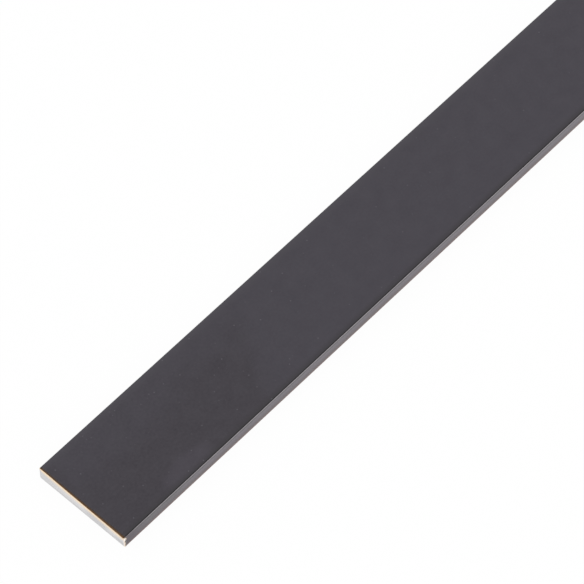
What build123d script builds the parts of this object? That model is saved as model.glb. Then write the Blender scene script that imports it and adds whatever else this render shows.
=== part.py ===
from build123d import *
import os

# A straight metal flat bar: one drawn or extruded piece of a plain rectangular section,
# with fine rounded arrises along its length, cut square at both ends and lightly deburred.
# It lies flat. +X runs along the bar, +Y across its width and +Z up through its thickness.
# The origin is on the underside, at the middle of the length and of the width.

# Driving dimensions, in millimetres
BAR_LENGTH = 500.0
BAR_WIDTH = 25.0
BAR_THICKNESS = 4.0
ARRIS_RADIUS = 0.15  # rounding of the four long edges
END_BREAK = 0.1  # small bevel round each cut end, where the burr was taken off


def bar_section():
    """The section seen along the bar, standing on Z = 0 and centred on Y."""
    outline = RectangleRounded(BAR_WIDTH, BAR_THICKNESS, ARRIS_RADIUS)
    return Plane.YZ * Pos(0, BAR_THICKNESS / 2) * outline


def drawn_bar():
    """The section carried along the whole length, with plain square ends."""
    return extrude(bar_section(), amount=BAR_LENGTH / 2, dir=(1, 0, 0), both=True)


def deburred(bar):
    """The bar with the sharp outline of each cut end bevelled all the way round."""
    cut_ends = bar.faces().filter_by(Plane.YZ)
    return chamfer(cut_ends.edges(), length=END_BREAK)


def flat_bar():
    """The whole bar, as the one solid that it is."""
    bar = deburred(drawn_bar())
    bar.label = "flat_bar"
    return bar


os.makedirs("parts", exist_ok=True)
export_step(flat_bar(), "parts/flat_bar.step")
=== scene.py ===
import math

import bpy
import numpy as np
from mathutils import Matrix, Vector, noise


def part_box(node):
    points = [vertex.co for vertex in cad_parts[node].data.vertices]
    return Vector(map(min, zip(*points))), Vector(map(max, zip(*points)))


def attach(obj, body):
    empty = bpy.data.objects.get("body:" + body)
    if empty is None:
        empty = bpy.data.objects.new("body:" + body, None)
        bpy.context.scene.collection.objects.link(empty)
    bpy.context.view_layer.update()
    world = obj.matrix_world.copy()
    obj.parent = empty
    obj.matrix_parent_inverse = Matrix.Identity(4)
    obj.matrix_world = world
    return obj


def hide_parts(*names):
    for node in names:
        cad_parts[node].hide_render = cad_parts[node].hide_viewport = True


# A dark anodised flat bar lying on a pale floor. The bar is one piece: a closed mesh with
# rounded arrises, hand-deburred cut ends with saw marks, and one material that turns from
# the dark film to bare metal where the ends were cut. Lengths are in metres.

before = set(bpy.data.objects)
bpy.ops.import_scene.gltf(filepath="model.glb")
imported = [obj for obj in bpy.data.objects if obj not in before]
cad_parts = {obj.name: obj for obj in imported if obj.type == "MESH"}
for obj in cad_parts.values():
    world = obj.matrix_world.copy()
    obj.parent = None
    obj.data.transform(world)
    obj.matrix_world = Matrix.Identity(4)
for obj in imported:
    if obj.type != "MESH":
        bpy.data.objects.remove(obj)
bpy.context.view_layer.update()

MM = 0.001

# The bar's size, from the frame
bar_low, bar_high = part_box("flat_bar")
LENGTH, WIDTH, THICKNESS = bar_high - bar_low
NEAR_X = bar_low.x
FAR_X = bar_high.x
FRONT_Y = bar_low.y

# Edges of the section and of the cut ends
ARRIS_RADIUS = 0.15 * MM
DEBURR = 0.1 * MM  # how far the deburring reaches onto the cut face
DEBURR_SWING = 0.02 * MM  # how far that wavers, in ripples of these lengths
INSET_RIPPLE = 0.9 * MM  # on the cut face
REACH_RIPPLE = 0.6 * MM  # along the bar
CUT_LEAN = 0.1 * MM  # how far the near cut leans back at its lower front corner

# How far the film is gone from the long faces beside a cut end
BARE_BACK = 0.08 * MM  # on the top face, towards the back
BARE_FRONT = -0.42 * MM  # at the front, where the cut dragged the film over its rim
BACK_CORNER = -0.06 * MM  # what the last stretch before the back corner adds
BACK_REACH = 2.5 * MM
FRONT_CORNER = -0.2 * MM  # what the last stretch before the front corner adds
FRONT_REACH = 1.2 * MM
BARE_UNDER = 0.1 * MM  # on the underside
BARE_NARROW = 0.31 * MM  # on the narrow faces
BARE_FOOT = 0.14 * MM  # how much closer to the near end it comes at the front one's foot
FOOT_HEIGHT = 1.4 * MM
BARE_SWING = 0.06 * MM  # how far the film's edge wanders on the narrow faces
BARE_RIPPLE = 0.5 * MM
CHIP_LENGTH = 0.34 * MM  # where the film has chipped off at the near front corner
CHIP_TOP = 3.65 * MM
CHIP_FOOT = 2.55 * MM
NOTCH = 0.1 * MM  # how far the film juts out below the chip
NOTCH_Z = 2.15 * MM
NOTCH_HEIGHT = 0.4 * MM

# Saw marks on the cut faces: shallow arcs about a far centre
SAW_CENTRE = Vector((0.06, -0.11))
SAW_PITCH = 0.36 * MM
SAW_DEPTH = 0.004 * MM
SAW_WANDER = 0.35  # how far they stray, in pitches
WANDER_SIZE = 4 * MM
SAW_FADE = 0.4  # how much their depth varies
FADE_SIZE = 2 * MM

# How finely the mesh is divided
FACE_CELL = 0.1 * MM
ARC_STEPS = 6
DEBURR_STEPS = 4
COLLAR = 1.6 * MM  # the stretch beside each end that gets a finer part of the bake map
COLLAR_START = 0.8 * MM  # past the deepest part of the rim
COLLAR_STEPS = 4
STRIPS = 3  # lengths that the long faces are cut into on the bake map
STRIP_STEPS = 16

# The bake map, which is a square sheet in metres before it is scaled to one
SHEET_MARGIN = 1.0 * MM
END_MAGNIFY = 3.5
BAKE_MAP = "OFBake"  # the bake map's name

# What each vertex carries for the material
CUT = "cut"  # millimetres from the film's edge: above 0 on the film, below on bare metal
RIM = "rim"  # millimetres from the rim of the cut end: above 0 on the long faces
WARMTH = "warmth"  # how wide the film's warm edge shows there, 0 to 1

# Warmth along each side of the section
WARM_TOP = 1.0
WARM_FRONT = 0.18
WARM_BACK = 0.15
WARM_UNDER = 0.05


def section_points():
    """The section's outline as (point, outward normal, warmth), once round from low y."""
    half = WIDTH / 2 - ARRIS_RADIUS
    flat_cells = round(2 * half / FACE_CELL)
    rise_cells = round((THICKNESS - 2 * ARRIS_RADIUS) / FACE_CELL)
    low = ARRIS_RADIUS
    high = THICKNESS - ARRIS_RADIUS
    # Each side: start and end of its flat, outward normal, cells along it, warmth
    sides = (
        ((-half, low), (half, low), (0, -1), flat_cells, WARM_UNDER),
        ((half, low), (half, high), (1, 0), rise_cells, WARM_BACK),
        ((half, high), (-half, high), (0, 1), flat_cells, WARM_TOP),
        ((-half, high), (-half, low), (-1, 0), rise_cells, WARM_FRONT),
    )
    outline = []
    for i, (start, end, normal, cells, warmth) in enumerate(sides):
        normal = Vector(normal)
        for k in range(cells + 1):
            core = Vector(start).lerp(Vector(end), k / cells)
            outline.append((core, normal, warmth))
        next_normal = Vector(sides[(i + 1) % len(sides)][2])
        next_warmth = sides[(i + 1) % len(sides)][4]
        for k in range(1, ARC_STEPS):
            share = k / ARC_STEPS
            turn = share * math.pi / 2
            arc_normal = normal * math.cos(turn) + next_normal * math.sin(turn)
            outline.append((Vector(end), arc_normal, warmth + (next_warmth - warmth) * share))
    return outline, flat_cells, rise_cells


OUTLINE, FLAT_CELLS, RISE_CELLS = section_points()
COUNT = len(OUTLINE)


def outline_point(k, inset=0.0):
    """Point k of the section's outline, moved inwards by inset."""
    core, normal, _ = OUTLINE[k % COUNT]
    return core + normal * (ARRIS_RADIUS - inset)


def outline_lengths():
    """How far along the outline each point lies, closing on the whole length."""
    lengths = [0.0]
    for k in range(COUNT):
        step = (outline_point(k + 1) - outline_point(k)).length
        lengths.append(lengths[-1] + step)
    return lengths


ALONG = outline_lengths()
DEVELOPED = ALONG[-1]


class Draft:
    """The mesh while it is gathered: its points, faces and bake-map corners."""

    def __init__(self):
        self.points = []
        self.cuts = []
        self.rims = []
        self.warmths = []
        self.faces = []
        self.corners = []

    def point(self, x, yz, rim, bare, warmth):
        """Adds a point that lies at rim from the end's rim, where the film stops at bare."""
        self.points.append((x, yz[0], yz[1]))
        self.cuts.append((rim - bare) / MM)
        self.rims.append(rim / MM)
        self.warmths.append(warmth)
        return len(self.points) - 1

    def face(self, indices, corners):
        """Adds a face, leaving out corners that coincide."""
        kept = [i for i in range(len(indices)) if indices[i] != indices[i - 1]]
        self.faces.append([indices[i] for i in kept])
        self.corners.extend(corners[i] for i in kept)


class CutEnd:
    """One cut end: its x, which way it faces, and its own irregularities."""

    def __init__(self, x, facing, seed, lean, chipped):
        self.x = x
        self.facing = facing
        self.seed = seed
        self.lean = lean
        self.chipped = chipped

    def setback(self, yz):
        """How far the cut face lies inside the bar's end there."""
        front = 0.5 - yz[0] / WIDTH
        down = 1 - yz[1] / THICKNESS
        return self.lean * front * down + saw_mark(yz, self.seed)

    def ripple(self, k, length, layer):
        """Noise along the outline, about -1 to 1, in ripples of that length; layers differ."""
        return noise.noise(Vector((ALONG[k % COUNT] / length, self.seed, layer)))

    def inset(self, k):
        """How far the deburring reaches onto the cut face at outline point k."""
        return DEBURR + DEBURR_SWING * self.ripple(k, INSET_RIPPLE, 0)

    def chip(self, k):
        """Length of the chip at outline point k, or 0 away from it."""
        return chip_reach(outline_point(k)) if self.chipped else 0.0

    def reach(self, k):
        """How far the deburring reaches along the bar at outline point k."""
        return DEBURR + DEBURR_SWING * self.ripple(k, REACH_RIPPLE, 5) + max(0.0, self.chip(k))

    def bare(self, k):
        """How far from the bar's end the film stops at outline point k."""
        _, normal, _ = OUTLINE[k % COUNT]
        narrow = abs(normal.x)
        wander = BARE_SWING * narrow * self.ripple(k, BARE_RIPPLE, 11)
        broad = top_bare(outline_point(k)[0]) if normal.y > 0 else BARE_UNDER
        return broad + (BARE_NARROW - broad) * narrow + wander + self.chip(k)


def top_bare(y):
    """How far from the bar's end the film stops on the top face, at that place across it."""
    front = 0.5 - y / WIDTH
    at_back = max(0.0, 1 - (WIDTH / 2 - y) / BACK_REACH)
    at_front = max(0.0, 1 - (WIDTH / 2 + y) / FRONT_REACH)
    corners = BACK_CORNER * at_back + FRONT_CORNER * at_front
    return BARE_BACK + (BARE_FRONT - BARE_BACK) * front + corners


def patches(yz, size, seed):
    """Noise over a cut face, about -1 to 1, in patches of that size."""
    return noise.noise(Vector((yz[0] / size, yz[1] / size, seed)))


def saw_mark(yz, seed):
    """Depth of the saw's marks on a cut face, never below zero."""
    away = (Vector(yz) - SAW_CENTRE).length
    wander = SAW_WANDER * patches(yz, WANDER_SIZE, seed)
    wave = 0.5 + 0.5 * math.sin(2 * math.pi * (away / SAW_PITCH + wander))
    strength = 1 - SAW_FADE + SAW_FADE * patches(yz, FADE_SIZE, seed + 9)
    return SAW_DEPTH * wave * strength


def chip_reach(yz):
    """Extra bare length at the front corner: a rounded chip with film jutting out below it."""
    if yz[0] > -WIDTH / 2 + ARRIS_RADIUS:
        return 0.0
    middle = (CHIP_TOP + CHIP_FOOT) / 2
    half = (CHIP_TOP - CHIP_FOOT) / 2
    share = max(0.0, 1 - ((yz[1] - middle) / half) ** 2)
    notch = max(0.0, 1 - ((yz[1] - NOTCH_Z) / NOTCH_HEIGHT) ** 2)
    foot = max(0.0, 1 - yz[1] / FOOT_HEIGHT)
    return CHIP_LENGTH * math.sqrt(share) - NOTCH * notch - BARE_FOOT * foot


def deburred_rings(draft, end):
    """The rounded-over rim of a cut end, as rings from the long faces to the cut face."""
    rings = []
    for step in range(DEBURR_STEPS + 1):
        turn = step / DEBURR_STEPS * math.pi / 2
        ring = []
        for k in range(COUNT):
            inset = end.inset(k) * (1 - math.cos(turn))
            depth = end.reach(k) * (1 - math.sin(turn))
            yz = outline_point(k, inset)
            x = end.x - end.facing * (depth + end.setback(yz))
            ring.append(draft.point(x, yz, depth - inset, end.bare(k), OUTLINE[k][2]))
        rings.append(ring)
    return rings


def face_grid(draft, end):
    """The flat of a cut end inside its rim: rows of points, from low z to high z."""
    rows = []
    for j in range(RISE_CELLS + 1):
        row = []
        for i in range(FLAT_CELLS + 1):
            y = (i / FLAT_CELLS - 0.5) * (WIDTH - 2 * ARRIS_RADIUS)
            z = ARRIS_RADIUS + j / RISE_CELLS * (THICKNESS - 2 * ARRIS_RADIUS)
            # Distance from each side's flat, with where the film stops and the warmth there
            sides = (
                (y + WIDTH / 2, BARE_NARROW, WARM_FRONT),
                (WIDTH / 2 - y, BARE_NARROW, WARM_BACK),
                (THICKNESS - z, top_bare(y), WARM_TOP),
                (z, BARE_UNDER, WARM_UNDER),
            )
            distance, bare, warmth = min(sides, key=lambda side: side[0] + side[1])
            x = end.x - end.facing * end.setback((y, z))
            row.append(draft.point(x, (y, z), -distance, bare, warmth))
        rows.append(row)
    return rows


def grid_rim(rows):
    """The grid's border vertex that each outline point falls on."""
    border = []
    border += [rows[0][i] for i in range(FLAT_CELLS + 1)]
    border += [rows[0][-1]] * (ARC_STEPS - 1)
    border += [rows[j][-1] for j in range(RISE_CELLS + 1)]
    border += [rows[-1][-1]] * (ARC_STEPS - 1)
    border += [rows[-1][i] for i in range(FLAT_CELLS, -1, -1)]
    border += [rows[-1][0]] * (ARC_STEPS - 1)
    border += [rows[j][0] for j in range(RISE_CELLS, -1, -1)]
    border += [rows[0][0]] * (ARC_STEPS - 1)
    return border


def add_quad(draft, quad, corners, outward):
    """Adds a quad whose order faces outwards when outward is true, else turned round."""
    if not outward:
        quad = quad[::-1]
        corners = corners[::-1]
    draft.face(quad, corners)


def close_end(draft, end, place):
    """Fills a cut end and returns the ring where its rim meets the long faces."""
    rings = deburred_rings(draft, end)
    rows = face_grid(draft, end)
    outward = end.facing > 0

    def corner(index):
        return place(draft.points[index])

    shells = rings + [grid_rim(rows)]
    for outer, inner in zip(shells, shells[1:]):
        for k in range(COUNT):
            n = (k + 1) % COUNT
            quad = [outer[k], outer[n], inner[n], inner[k]]
            add_quad(draft, quad, [corner(v) for v in quad], outward)
    for j in range(RISE_CELLS):
        for i in range(FLAT_CELLS):
            quad = [rows[j][i], rows[j][i + 1], rows[j + 1][i + 1], rows[j + 1][i]]
            add_quad(draft, quad, [corner(v) for v in quad], outward)
    return rings[0]


class Sheet:
    """The bake map's layout: the strips in one column, then the collars, then the cut faces."""

    def __init__(self):
        self.strip = (LENGTH - 2 * COLLAR) / STRIPS
        self.pitch = DEVELOPED + SHEET_MARGIN
        self.collar_scale = self.strip / DEVELOPED
        self.collar_base = self.strip + 2 * SHEET_MARGIN
        self.collar_pitch = COLLAR * self.collar_scale + SHEET_MARGIN
        self.end_base = self.collar_base + 2 * self.collar_pitch
        self.end_pitch = WIDTH * END_MAGNIFY + SHEET_MARGIN
        self.side = self.end_base + THICKNESS * END_MAGNIFY + SHEET_MARGIN

    def scaled(self, u, v):
        return (u / self.side, v / self.side)

    def on_strip(self, index, x, along):
        """A place on a long strip, for x from the near collar and the length round it."""
        u = SHEET_MARGIN + x - index * self.strip
        return self.scaled(u, SHEET_MARGIN + index * self.pitch + along)

    def on_collar(self, index, depth, along):
        """A place on a collar, for the depth from the bar's end."""
        u = self.collar_base + index * self.collar_pitch + depth * self.collar_scale
        return self.scaled(u, SHEET_MARGIN + along * self.collar_scale)

    def on_end(self, index, y, z):
        """A place on a cut face."""
        v = SHEET_MARGIN + index * self.end_pitch + (y + WIDTH / 2) * END_MAGNIFY
        return self.scaled(self.end_base + z * END_MAGNIFY, v)


def film_ring(draft, end, x):
    """A ring of points on the long faces, at that x, which belongs to that end's half."""
    depth = abs(x - end.x)
    ring = []
    for k in range(COUNT):
        ring.append(draft.point(x, outline_point(k), depth, end.bare(k), OUTLINE[k][2]))
    return ring


def join_rings(draft, left, right, place):
    """Quads between two rings, left nearer to low x, with place giving bake-map corners."""
    for k in range(COUNT):
        n = (k + 1) % COUNT
        quad = [left[k], left[n], right[n], right[k]]
        lengths = (ALONG[k], ALONG[k + 1], ALONG[k + 1], ALONG[k])
        corners = [place(draft.points[v][0], a) for v, a in zip(quad, lengths)]
        add_quad(draft, quad, corners, False)


def collar_depths():
    """How far from the bar's end each ring of a collar lies, nearest first."""
    stretch = COLLAR - COLLAR_START
    return [COLLAR_START + stretch * i / (COLLAR_STEPS - 1) for i in range(COLLAR_STEPS)]


def bar_draft():
    """The whole bar: two cut ends, their collars and the long faces between."""
    draft = Draft()
    sheet = Sheet()
    near = CutEnd(NEAR_X, -1, seed=3.0, lean=CUT_LEAN, chipped=True)
    far = CutEnd(FAR_X, 1, seed=21.0, lean=0.0, chipped=False)
    last = close_end(draft, near, lambda p: sheet.on_end(0, p[1], p[2]))
    far_ring = close_end(draft, far, lambda p: sheet.on_end(1, p[1], p[2]))

    for depth in collar_depths():
        ring = film_ring(draft, near, NEAR_X + depth)
        join_rings(draft, last, ring, lambda x, a: sheet.on_collar(0, x - NEAR_X, a))
        last = ring
    first_x = NEAR_X + COLLAR
    for step in range(1, STRIPS * STRIP_STEPS + 1):
        strip = (step - 1) // STRIP_STEPS
        x = first_x + step / STRIP_STEPS * sheet.strip
        ring = film_ring(draft, near if x < 0 else far, x)
        join_rings(draft, last, ring, lambda x, a: sheet.on_strip(strip, x - first_x, a))
        last = ring
    for depth in reversed(collar_depths()[:-1]):
        ring = film_ring(draft, far, FAR_X - depth)
        join_rings(draft, last, ring, lambda x, a: sheet.on_collar(1, FAR_X - x, a))
        last = ring
    join_rings(draft, last, far_ring, lambda x, a: sheet.on_collar(1, FAR_X - x, a))
    return draft


def bar_object(draft):
    """The mesh object made from the draft, smooth-shaded, with its map and values."""
    mesh = bpy.data.meshes.new("flat_bar_skin")
    mesh.from_pydata(draft.points, [], draft.faces)
    bake_map = mesh.uv_layers.new(name=BAKE_MAP)
    bake_map.data.foreach_set("uv", np.array(draft.corners, np.float32).ravel())
    for name, values in ((CUT, draft.cuts), (RIM, draft.rims), (WARMTH, draft.warmths)):
        layer = mesh.attributes.new(name, "FLOAT", "POINT")
        layer.data.foreach_set("value", np.array(values, np.float32))
    mesh.polygons.foreach_set("use_smooth", [True] * len(mesh.polygons))
    mesh.update()
    bar = bpy.data.objects.new("flat_bar_skin", mesh)
    bpy.context.scene.collection.objects.link(bar)
    return bar


class Nodes:
    """Short helpers for building a material's nodes."""

    def __init__(self, name):
        self.material = bpy.data.materials.new(name)
        self.material.use_nodes = True
        self.tree = self.material.node_tree
        self.tree.nodes.clear()

    def node(self, kind, **settings):
        made = self.tree.nodes.new(kind)
        for key, value in settings.items():
            setattr(made, key, value)
        return made

    def link(self, source, target):
        self.tree.links.new(source, target)

    def fill(self, socket, value):
        """Sets a socket to a number or colour, or links it to another node's output."""
        if isinstance(value, bpy.types.NodeSocket):
            self.link(value, socket)
        else:
            socket.default_value = value

    def math(self, operation, first, second=0.0):
        made = self.node("ShaderNodeMath", operation=operation)
        self.fill(made.inputs[0], first)
        self.fill(made.inputs[1], second)
        return made.outputs[0]

    def product(self, first, *others):
        for other in others:
            first = self.math("MULTIPLY", first, other)
        return first

    def total(self, first, *others):
        for other in others:
            first = self.math("ADD", first, other)
        return first

    def spread(self, value, low, high, to_low=0.0, to_high=1.0, smooth=True):
        """Maps value from low..high to to_low..to_high, held at both ends."""
        made = self.node("ShaderNodeMapRange")
        made.interpolation_type = "SMOOTHSTEP" if smooth else "LINEAR"
        self.fill(made.inputs["Value"], value)
        self.fill(made.inputs["From Min"], low)
        self.fill(made.inputs["From Max"], high)
        self.fill(made.inputs["To Min"], to_low)
        self.fill(made.inputs["To Max"], to_high)
        return made.outputs["Result"]

    def mix(self, share, first, second):
        """A colour between first and second."""
        made = self.node("ShaderNodeMix", data_type="RGBA")
        self.fill(made.inputs["Factor"], share)
        self.fill(made.inputs["A"], first)
        self.fill(made.inputs["B"], second)
        return made.outputs["Result"]

    def noise(self, place, scale, detail=3.0, rough=0.5):
        made = self.node("ShaderNodeTexNoise")
        self.link(place, made.inputs["Vector"])
        made.inputs["Scale"].default_value = scale
        made.inputs["Detail"].default_value = detail
        made.inputs["Roughness"].default_value = rough
        return made.outputs["Fac"]

    def stretched(self, place, x, y, z):
        """The place scaled on each axis, to draw a pattern out along one of them."""
        made = self.node("ShaderNodeMapping")
        self.link(place, made.inputs["Vector"])
        made.inputs["Scale"].default_value = (x, y, z)
        return made.outputs["Vector"]

    def axes(self, place):
        made = self.node("ShaderNodeSeparateXYZ")
        self.link(place, made.inputs["Vector"])
        return made.outputs["X"], made.outputs["Y"], made.outputs["Z"]


def linear(red, green, blue):
    """An sRGB colour in 0 to 255 as the linear colour that a shader takes."""
    def channel(level):
        share = level / 255
        if share <= 0.04045:
            return share / 12.92
        return ((share + 0.055) / 1.055) ** 2.4
    return (channel(red), channel(green), channel(blue), 1.0)


# The film's colours under its own gloss, which lightens it: the dyed layer's tones, with painted
# light and shade among them
FILM = linear(53, 49, 58)
FILM_LIGHT = linear(78, 75, 82)  # where it is cloudy
FILM_NEAR_SHADE = linear(46, 41, 49)  # painted shade beside the near end
FILM_PATCH_TONE = linear(56, 51, 60)  # a lighter patch by the near front corner
FILM_BACK_HIGHLIGHT = linear(60, 57, 64)  # painted highlight along the back arris
FILM_FRONT_ARRIS_SHADE = linear(43, 40, 44)  # painted shade along the front arris, on the broad faces
FILM_ARRIS_SHADE_LINE = linear(6, 4, 7)  # a painted dark line of shade on the last of the broad faces before that arris
FILM_NARROW_LIT = linear(83, 70, 86)  # the film painted lighter on the narrow faces, for how the light falls on them
FILM_NARROW_HIGHLIGHT = linear(150, 142, 147)  # a painted highlight along their top
FILM_DASH = linear(12, 8, 11)  # dark dashes under that line
FILM_FOOT_SHADE = linear(54, 30, 40)  # painted shade on their lowest stretch, by the floor
FILM_EDGE = linear(96, 36, 18)  # the lower arris of the front one
FILM_NARROW_NEAR_SHADE = linear(46, 24, 44)  # painted shade on their first stretch beside the near end
SPECK = linear(88, 86, 93)  # the light specks on the broad faces

# Bare metal, and the warm edge between it and the film
BARE = linear(229, 228, 228)
BARE_TONE_AND_SAW_SHADE = linear(217, 216, 217)  # the metal's darker tone in its clouds, and painted shade in the saw marks' lines
BARE_SHADE = linear(198, 197, 199)  # painted shade in places on the cut faces, darker towards the bottom
STRIP = linear(246, 234, 226)  # where the film is gone from the narrow faces
CHIP_BARE_AND_GLINT = linear(255, 248, 240)  # bare metal in the chip, painted up to a glint
BROWN = linear(122, 88, 50)  # the film's side of the warm edge
BROWN_WIDTH = 0.55  # in millimetres, as the attributes are
CREAM = linear(254, 229, 194)  # the metal's side of it
CREAM_WIDTH = 1.8

# The lighter patch: its middle, in millimetres from the near end and the front, and its half sizes
PATCH_X = 21.5
PATCH_Y = 1.5
PATCH_LENGTH = 7.5 * MM
PATCH_WIDTH = 3.8 * MM

# How fine the patterns are, in features per metre, and along x, y and z where they are drawn out
EDGE_SCALE = 1500
GRAIN_SCALE = 9000
SPECK_SCALE = 1000
SHADE_SCALE = 60
PATCH_SCALE = 120
CLOUD_SCALE = 260
GRIT_SCALE = 1500
BARE_SCALE = 350
SAW_SCALE = 1.5 / SAW_PITCH
NARROW_SCALES = (300, 300, 900)
DASH_SCALES = (450, 200, 900)
BEAD_SCALES = (700, 1, 1)

# How the surface answers light
FILM_COAT = 0.5  # the share of the film's gloss
NEAR_END_DULLING = 0.3  # how much of that is lost beside the near end, on the front narrow face
COAT_ROUGHNESS = 0.25
COAT_IOR = 1.6
BARE_ROUGHNESS = 0.35
SATIN_LOW = 0.3  # the film's roughness, from the smoothest of its grain
SATIN_HIGH = 0.4  # to the roughest
METAL = 0.9  # how metallic the film and the bare ends are
BUMP_STRENGTH = 0.15
BUMP_DEPTH = 0.005 * MM


def from_near(distance):
    """The x of the place that many millimetres from the near end."""
    return NEAR_X + distance * MM


def from_front(distance):
    """The y of the place that many millimetres from the front."""
    return FRONT_Y + distance * MM


def from_back(distance):
    """The y of the place that many millimetres from the back."""
    return -FRONT_Y - distance * MM


def band(n, value, low, high, soft):
    """A share that is 1 between low and high and fades to 0 past them."""
    rise = n.spread(value, low - soft, low)
    fall = n.spread(value, high, high + soft, 1.0, 0.0)
    return n.product(rise, fall)


def specks(n, place, x, y):
    """A share that is high on soft light specks, more of them near the end and the back."""
    dots = n.node("ShaderNodeTexVoronoi", feature="F1")
    n.link(place, dots.inputs["Vector"])
    dots.inputs["Scale"].default_value = SPECK_SCALE
    soft = n.spread(dots.outputs["Distance"], 0.0, 0.24, 1.0, 0.0)
    chosen = n.node("ShaderNodeSeparateColor")
    n.link(dots.outputs["Color"], chosen.inputs["Color"])
    near = n.spread(x, from_near(30), from_near(90), 0.12, 0.0)
    back = n.spread(y, from_back(5), from_back(1), 0.0, 0.06)
    chance = n.total(near, back, 0.07)
    rare = n.spread(n.total(chosen.outputs["Red"], chance), 0.97, 1.12)
    return n.product(soft, rare)


def painted_near_shade(n, place, x, y):
    """A share that is high on the film's painted shade beside the near end, mostly at the front."""
    sway = n.noise(place, SHADE_SCALE, detail=3.0)
    reach = n.total(x, n.spread(sway, 0.2, 0.8, -9 * MM, 9 * MM))
    along = n.spread(reach, from_near(44), from_near(60), 1.0, 0.0)
    side = n.total(y, n.spread(sway, 0.2, 0.8, -3 * MM, 3 * MM))
    across = n.spread(side, from_front(11), from_front(21), 1.0, 0.25)
    beside_end = n.spread(x, NEAR_X, from_near(5), 1.0, 0.0)
    return n.math("MAXIMUM", n.product(along, across), beside_end)


def lighter_patch(n, place):
    """A share that is high on a slightly lighter, rounded patch near the near front corner."""
    sway = n.noise(place, PATCH_SCALE, detail=3.0)
    offset = n.node("ShaderNodeVectorMath", operation="SUBTRACT")
    n.link(place, offset.inputs[0])
    offset.inputs[1].default_value = (from_near(PATCH_X), from_front(PATCH_Y), 0)
    away = n.node("ShaderNodeVectorMath", operation="LENGTH")
    scaled = n.stretched(offset.outputs["Vector"], 1 / PATCH_LENGTH, 1 / PATCH_WIDTH, 0)
    n.link(scaled, away.inputs[0])
    ragged = n.total(away.outputs["Value"], n.spread(sway, 0.25, 0.75, -0.15, 0.15))
    return n.spread(ragged, 0.6, 1.15, 1.0, 0.0)


def mottled(n, place, x):
    """The film's cloudy unevenness, whose grit is stronger towards the near end."""
    coarse = n.noise(place, CLOUD_SCALE, detail=2.0, rough=0.5)
    fine = n.noise(place, GRIT_SCALE, detail=2.0, rough=0.6)
    cloud = n.spread(coarse, 0.25, 0.75, -0.075, 0.075, smooth=False)
    grit = n.spread(fine, 0.2, 0.8, -0.13, 0.13, smooth=False)
    strength = n.spread(x, from_near(20), from_near(75), 1.0, 0.5)
    return n.total(cloud, n.product(grit, strength), 0.15)


def broad_film(n, place, x, y):
    """The film's colour on the broad faces, with painted shade beside the near end and along the
    front arris, and a painted highlight along the back arris.
    """
    # painted shade beside the near end
    tint = n.mix(painted_near_shade(n, place, x, y), FILM, FILM_NEAR_SHADE)
    tint = n.mix(lighter_patch(n, place), tint, FILM_PATCH_TONE)
    # painted highlight along the back arris
    tint = n.mix(n.spread(y, from_back(2.5), from_back(0)), tint, FILM_BACK_HIGHLIGHT)
    tint = n.mix(mottled(n, place, x), tint, FILM_LIGHT)
    # painted shade along the front arris
    tint = n.mix(n.spread(y, FRONT_Y, from_front(1.8), 0.8, 0.0), tint, FILM_FRONT_ARRIS_SHADE)
    tint = n.mix(specks(n, place, x, y), tint, SPECK)
    # a painted dark line of shade just before the front arris
    arris_shade_line = n.spread(y, from_front(0.16), from_front(0.38), 1.0, 0.0)
    return n.mix(arris_shade_line, tint, FILM_ARRIS_SHADE_LINE)


def near_end_stretch(n, x):
    """A share that is high on the narrow faces' first stretch beside the near end, painted darker
    and less glossy.
    """
    return n.spread(x, from_near(0.8), from_near(8), 1.0, 0.0)


def narrow_near_shade_share(n, x, z):
    """How much of the painted shade shows: it lasts longer, but weakly, low on the face."""
    low = n.spread(z, 1.6 * MM, 2.6 * MM, 0.25, 0.0)
    lasting = n.product(n.spread(x, from_near(6), from_near(24), 1.0, 0.0), low)
    return n.math("MAXIMUM", near_end_stretch(n, x), lasting)


def dashes(n, place, z):
    """A share that is high on the dark dashes under the painted highlight line."""
    broken = n.noise(n.stretched(place, *DASH_SCALES), 1.0, detail=2.0)
    height = band(n, z, 3.1 * MM, 3.4 * MM, 0.2 * MM)
    return n.product(height, n.spread(broken, 0.3, 0.6, 0.4, 1.0))


def painted_arris_highlight(n, place, x, z):
    """A share that is high on the beaded, painted highlight along the top of the narrow faces."""
    beads = n.noise(n.stretched(place, *BEAD_SCALES), 1.0, detail=1.0)
    along = n.spread(x, from_near(0.5), from_near(5), 0.5, 1.0)
    height = n.spread(z, 3.63 * MM, 3.7 * MM)
    return n.product(height, along, n.spread(beads, 0.35, 0.65, 0.7, 1.0))


def narrow_film(n, place, x, y, z):
    """The film's colour on the narrow faces, painted lighter for the light there: a painted
    highlight line, dashes, and a foot of painted shade.
    """
    mottle = n.noise(n.stretched(place, *NARROW_SCALES), 1.0, detail=4.0, rough=0.6)
    # the narrow faces' film, painted lighter for the light there
    tint = n.mix(n.spread(mottle, 0.25, 0.75, 0.0, 0.35, smooth=False), FILM_NARROW_LIT, FILM)
    # painted shade beside the near end, on the narrow faces too
    tint = n.mix(n.spread(x, from_near(14), from_near(20), 0.5, 0.0), tint, FILM_NEAR_SHADE)
    # painted shade, darker towards the bottom
    tint = n.mix(n.spread(z, 0.8 * MM, 2.9 * MM, 1.0, 0.0), tint, FILM_FOOT_SHADE)
    tint = n.mix(dashes(n, place, z), tint, FILM_DASH)
    # painted shade beside the near end
    tint = n.mix(narrow_near_shade_share(n, x, z), tint, FILM_NARROW_NEAR_SHADE)
    front = n.spread(y, -1 * MM, 1 * MM, 1.0, 0.0)
    lower_arris = n.spread(z, 0.3 * MM, 0.8 * MM, 1.0, 0.0)
    tint = n.mix(n.product(lower_arris, front), tint, FILM_EDGE)
    # painted highlight along the top of the narrow faces
    return n.mix(painted_arris_highlight(n, place, x, z), tint, FILM_NARROW_HIGHLIGHT)


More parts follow.
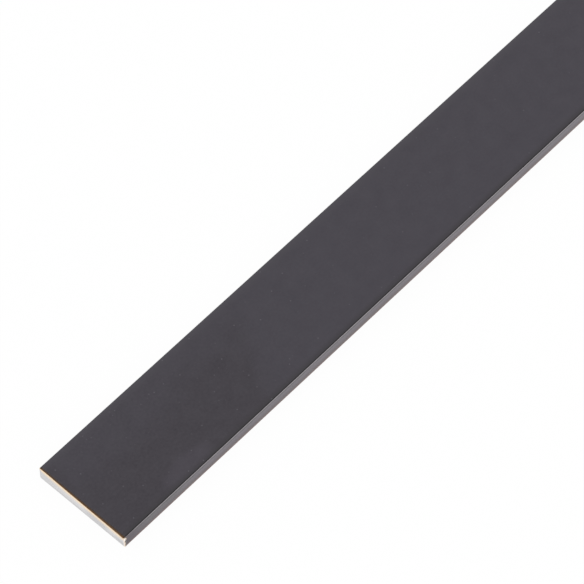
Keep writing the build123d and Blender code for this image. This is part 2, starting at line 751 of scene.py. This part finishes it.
def film_colour(n, place):
    """The dark film all round the bar, with the outer part of the arrises as narrow face, painted
    lighter.
    """
    x, y, z = n.axes(place)
    from_middle = n.math("ABSOLUTE", y)
    on_narrow = n.spread(from_middle, from_back(0.045), from_back(0.015))
    return n.mix(on_narrow, broad_film(n, place, x, y), narrow_film(n, place, x, y, z))


def painted_saw_shading(n, place):
    """Painted light and dark lines along the arcs of the saw's marks, about 0 to 1."""
    away = n.node("ShaderNodeVectorMath", operation="DISTANCE")
    n.link(n.stretched(place, 0, 1, 1), away.inputs[0])
    away.inputs[1].default_value = (0, SAW_CENTRE.x, SAW_CENTRE.y)
    lines = n.node("ShaderNodeTexNoise", noise_dimensions="1D")
    n.link(away.outputs["Value"], lines.inputs["W"])
    lines.inputs["Scale"].default_value = SAW_SCALE
    lines.inputs["Detail"].default_value = 2.0
    return lines.outputs["Fac"]


def painted_shade_places(n, y, z):
    """A share that is high on the cut faces' painted shade: a band across, the front corner, the
    back, and darker towards the bottom.
    """
    middle = n.product(band(n, y, from_front(6.5), from_front(10), 3 * MM), 0.9)
    low = n.spread(z, 1.0 * MM, 2.6 * MM, 1.0, 0.2)
    corner = n.product(n.spread(y, from_front(1.5), from_front(5), 1.0, 0.0), low)
    back = n.spread(y, from_back(8), from_back(2), 0.0, 0.6)
    foot = n.spread(z, 0.2 * MM, 2.2 * MM, 0.75, 0.0)
    return n.math("MAXIMUM", n.math("MAXIMUM", middle, corner), n.math("MAXIMUM", back, foot))


def bare_colour(n, place):
    """Bare metal on the cut faces, with painted light and shade along the saw's lines and painted
    shade in places, and lighter on the front strip.
    """
    _, y, z = n.axes(place)
    cloud = n.spread(n.noise(place, BARE_SCALE, detail=3.0), 0.3, 0.7, 0.0, 0.5)
    # painted light and shade of the saw marks' relief
    lines = n.spread(painted_saw_shading(n, place), 0.35, 0.65, 0.0, 0.5)
    bare = n.mix(n.total(cloud, lines), BARE_TONE_AND_SAW_SHADE, BARE)
    # painted shade in places on the cut faces
    shade = n.product(painted_shade_places(n, y, z), n.spread(lines, 0.0, 0.5, 1.0, 0.65))
    bare = n.mix(shade, bare, BARE_SHADE)
    on_narrow = n.spread(y, from_front(0.03), from_front(0.1), 1.0, 0.0)
    # the chip's bare metal, with a painted glint
    chipped = n.product(n.spread(z, 2.3 * MM, 2.7 * MM), on_narrow)
    on_strip = n.spread(y, from_front(0.15), from_front(0.5), 1.0, 0.0)
    return n.mix(on_strip, bare, n.mix(chipped, STRIP, CHIP_BARE_AND_GLINT))


def attribute(n, name):
    """The value that each vertex carries under that name."""
    return n.node("ShaderNodeAttribute", attribute_name=name).outputs["Fac"]


def film_gloss(n, place, film_share, brown_share):
    """The coat's weight: only on the film, and less on its brown edge and on the front narrow
    face's first stretch.
    """
    x, y, _ = n.axes(place)
    front = n.spread(y, FRONT_Y, from_front(0.15), NEAR_END_DULLING, 0.0)
    lost = n.math("MAXIMUM", brown_share, n.product(near_end_stretch(n, x), front))
    return n.product(film_share, n.math("SUBTRACT", 1.0, lost), FILM_COAT)


def bar_roughness(n, grain, film_share):
    """Satin grain on the film, and one roughness on the bare metal."""
    rough = n.node("ShaderNodeMix", data_type="FLOAT")
    n.fill(rough.inputs["Factor"], film_share)
    n.fill(rough.inputs["A"], BARE_ROUGHNESS)
    n.fill(rough.inputs["B"], n.spread(grain, 0.0, 1.0, SATIN_LOW, SATIN_HIGH, smooth=False))
    return rough.outputs["Result"]


def grain_bump(n, grain):
    """The surface normal, roughened by the grain."""
    bump = n.node("ShaderNodeBump")
    bump.inputs["Strength"].default_value = BUMP_STRENGTH
    bump.inputs["Distance"].default_value = BUMP_DEPTH
    n.link(grain, bump.inputs["Height"])
    return bump.outputs["Normal"]


def bar_material():
    """Dark anodised film that gives way to a warm edge and bare metal at the cut ends."""
    n = Nodes("anodised_bar")
    place = n.node("ShaderNodeTexCoord").outputs["Object"]
    warmth = attribute(n, WARMTH)
    ragged = n.noise(place, EDGE_SCALE, detail=3.0)
    edge = n.total(attribute(n, CUT), n.spread(ragged, 0.0, 1.0, -0.05, 0.05, smooth=False))

    from_edge = n.math("MINIMUM", edge, attribute(n, RIM))
    brown_share = n.product(n.spread(from_edge, 0.0, BROWN_WIDTH, 1.0, 0.0, smooth=False), warmth)
    film = n.mix(brown_share, film_colour(n, place), BROWN)
    cream_share = n.spread(edge, n.product(warmth, -CREAM_WIDTH), 0.0)
    bare = n.mix(cream_share, bare_colour(n, place), CREAM)
    film_share = n.spread(edge, -0.02, 0.02)
    grain = n.noise(place, GRAIN_SCALE, detail=2.0)

    shader = n.node("ShaderNodeBsdfPrincipled")
    n.link(n.mix(film_share, bare, film), shader.inputs["Base Color"])
    n.link(bar_roughness(n, grain, film_share), shader.inputs["Roughness"])
    n.link(grain_bump(n, grain), shader.inputs["Normal"])
    n.link(film_gloss(n, place, film_share, brown_share), shader.inputs["Coat Weight"])
    shader.inputs["Coat Roughness"].default_value = COAT_ROUGHNESS
    shader.inputs["Coat IOR"].default_value = COAT_IOR
    shader.inputs["Metallic"].default_value = METAL
    output = n.node("ShaderNodeOutputMaterial")
    n.link(shader.outputs["BSDF"], output.inputs["Surface"])
    return n.material


# The studio
WHITE = (1.0, 1.0, 1.0, 1.0)
FLOOR_SIZE = 60.0
FLOOR_GAP = 0.02 * MM  # keeps the floor out of the plane of the bar's underside
FLOOR_WHITE = (0.95, 0.95, 0.95, 1.0)
SHOWN_SHARE = 0.96  # how much of the floor's shown white doesn't take the shadow
WORLD_LEVEL = 1.0


def white_seen(n):
    """1 for rays that show the background itself or its reflection, else 0."""
    path = n.node("ShaderNodeLightPath")
    seen = n.math("MAXIMUM", path.outputs["Is Camera Ray"], path.outputs["Is Glossy Ray"])
    return n.math("MAXIMUM", seen, path.outputs["Is Transmission Ray"])


def floor_material():
    """A matte floor that shows as white but keeps the bar's soft shadow, see-through from below."""
    n = Nodes("studio_floor")
    matte = n.node("ShaderNodeBsdfDiffuse")
    matte.inputs["Color"].default_value = FLOOR_WHITE
    glow = n.node("ShaderNodeEmission")
    glow.inputs["Color"].default_value = WHITE
    glow.inputs["Strength"].default_value = 1.0
    blend = n.node("ShaderNodeMixShader")
    n.link(n.math("MULTIPLY", white_seen(n), SHOWN_SHARE), blend.inputs["Fac"])
    n.link(matte.outputs["BSDF"], blend.inputs[1])
    n.link(glow.outputs["Emission"], blend.inputs[2])
    one_sided = n.node("ShaderNodeMixShader")
    n.link(n.node("ShaderNodeNewGeometry").outputs["Backfacing"], one_sided.inputs["Fac"])
    n.link(blend.outputs["Shader"], one_sided.inputs[1])
    n.link(n.node("ShaderNodeBsdfTransparent").outputs["BSDF"], one_sided.inputs[2])
    output = n.node("ShaderNodeOutputMaterial")
    n.link(one_sided.outputs["Shader"], output.inputs["Surface"])
    return n.material


def make_floor():
    half = FLOOR_SIZE / 2
    mesh = bpy.data.meshes.new("floor")
    corners = [(-half, -half), (half, -half), (half, half), (-half, half)]
    mesh.from_pydata([(x, y, -FLOOR_GAP) for x, y in corners], [], [(0, 1, 2, 3)])
    floor = bpy.data.objects.new("floor", mesh)
    bpy.context.scene.collection.objects.link(floor)
    mesh.materials.append(floor_material())


def make_world():
    """An even white studio all round."""
    world = bpy.data.worlds.new("studio")
    world.use_nodes = True
    background = world.node_tree.nodes["Background"]
    background.inputs["Color"].default_value = WHITE
    background.inputs["Strength"].default_value = WORLD_LEVEL
    bpy.context.scene.world = world


# The camera, fitted to the photograph's edges of the bar
VIEW_TURN = math.radians(42.669)  # direction of view in plan, from +X towards +Y
VIEW_DOWN = math.radians(57.470)
LENS = 223.57  # in millimetres, as the sensor is
SENSOR_WIDTH = 36.0
AIM_FROM_END = 70.72 * MM
AIM_FROM_FRONT = 17.33 * MM
CAMERA_DISTANCE = 796.87 * MM


def make_camera():
    data = bpy.data.cameras.new("camera")
    data.lens = LENS
    data.sensor_width = SENSOR_WIDTH
    camera = bpy.data.objects.new("camera", data)
    bpy.context.scene.collection.objects.link(camera)
    level = math.cos(VIEW_DOWN)
    forward = Vector((
        level * math.cos(VIEW_TURN),
        level * math.sin(VIEW_TURN),
        -math.sin(VIEW_DOWN),
    ))
    aim = Vector((NEAR_X + AIM_FROM_END, FRONT_Y + AIM_FROM_FRONT, 0.0))
    camera.location = aim - forward * CAMERA_DISTANCE
    camera.rotation_mode = "QUATERNION"
    camera.rotation_quaternion = forward.to_track_quat("-Z", "Y")
    bpy.context.scene.camera = camera


bar = bar_object(bar_draft())
bar.data.materials.append(bar_material())
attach(bar, "root")
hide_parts("flat_bar")

make_floor()
make_world()
make_camera()
bpy.context.scene.view_settings.view_transform = "Standard"
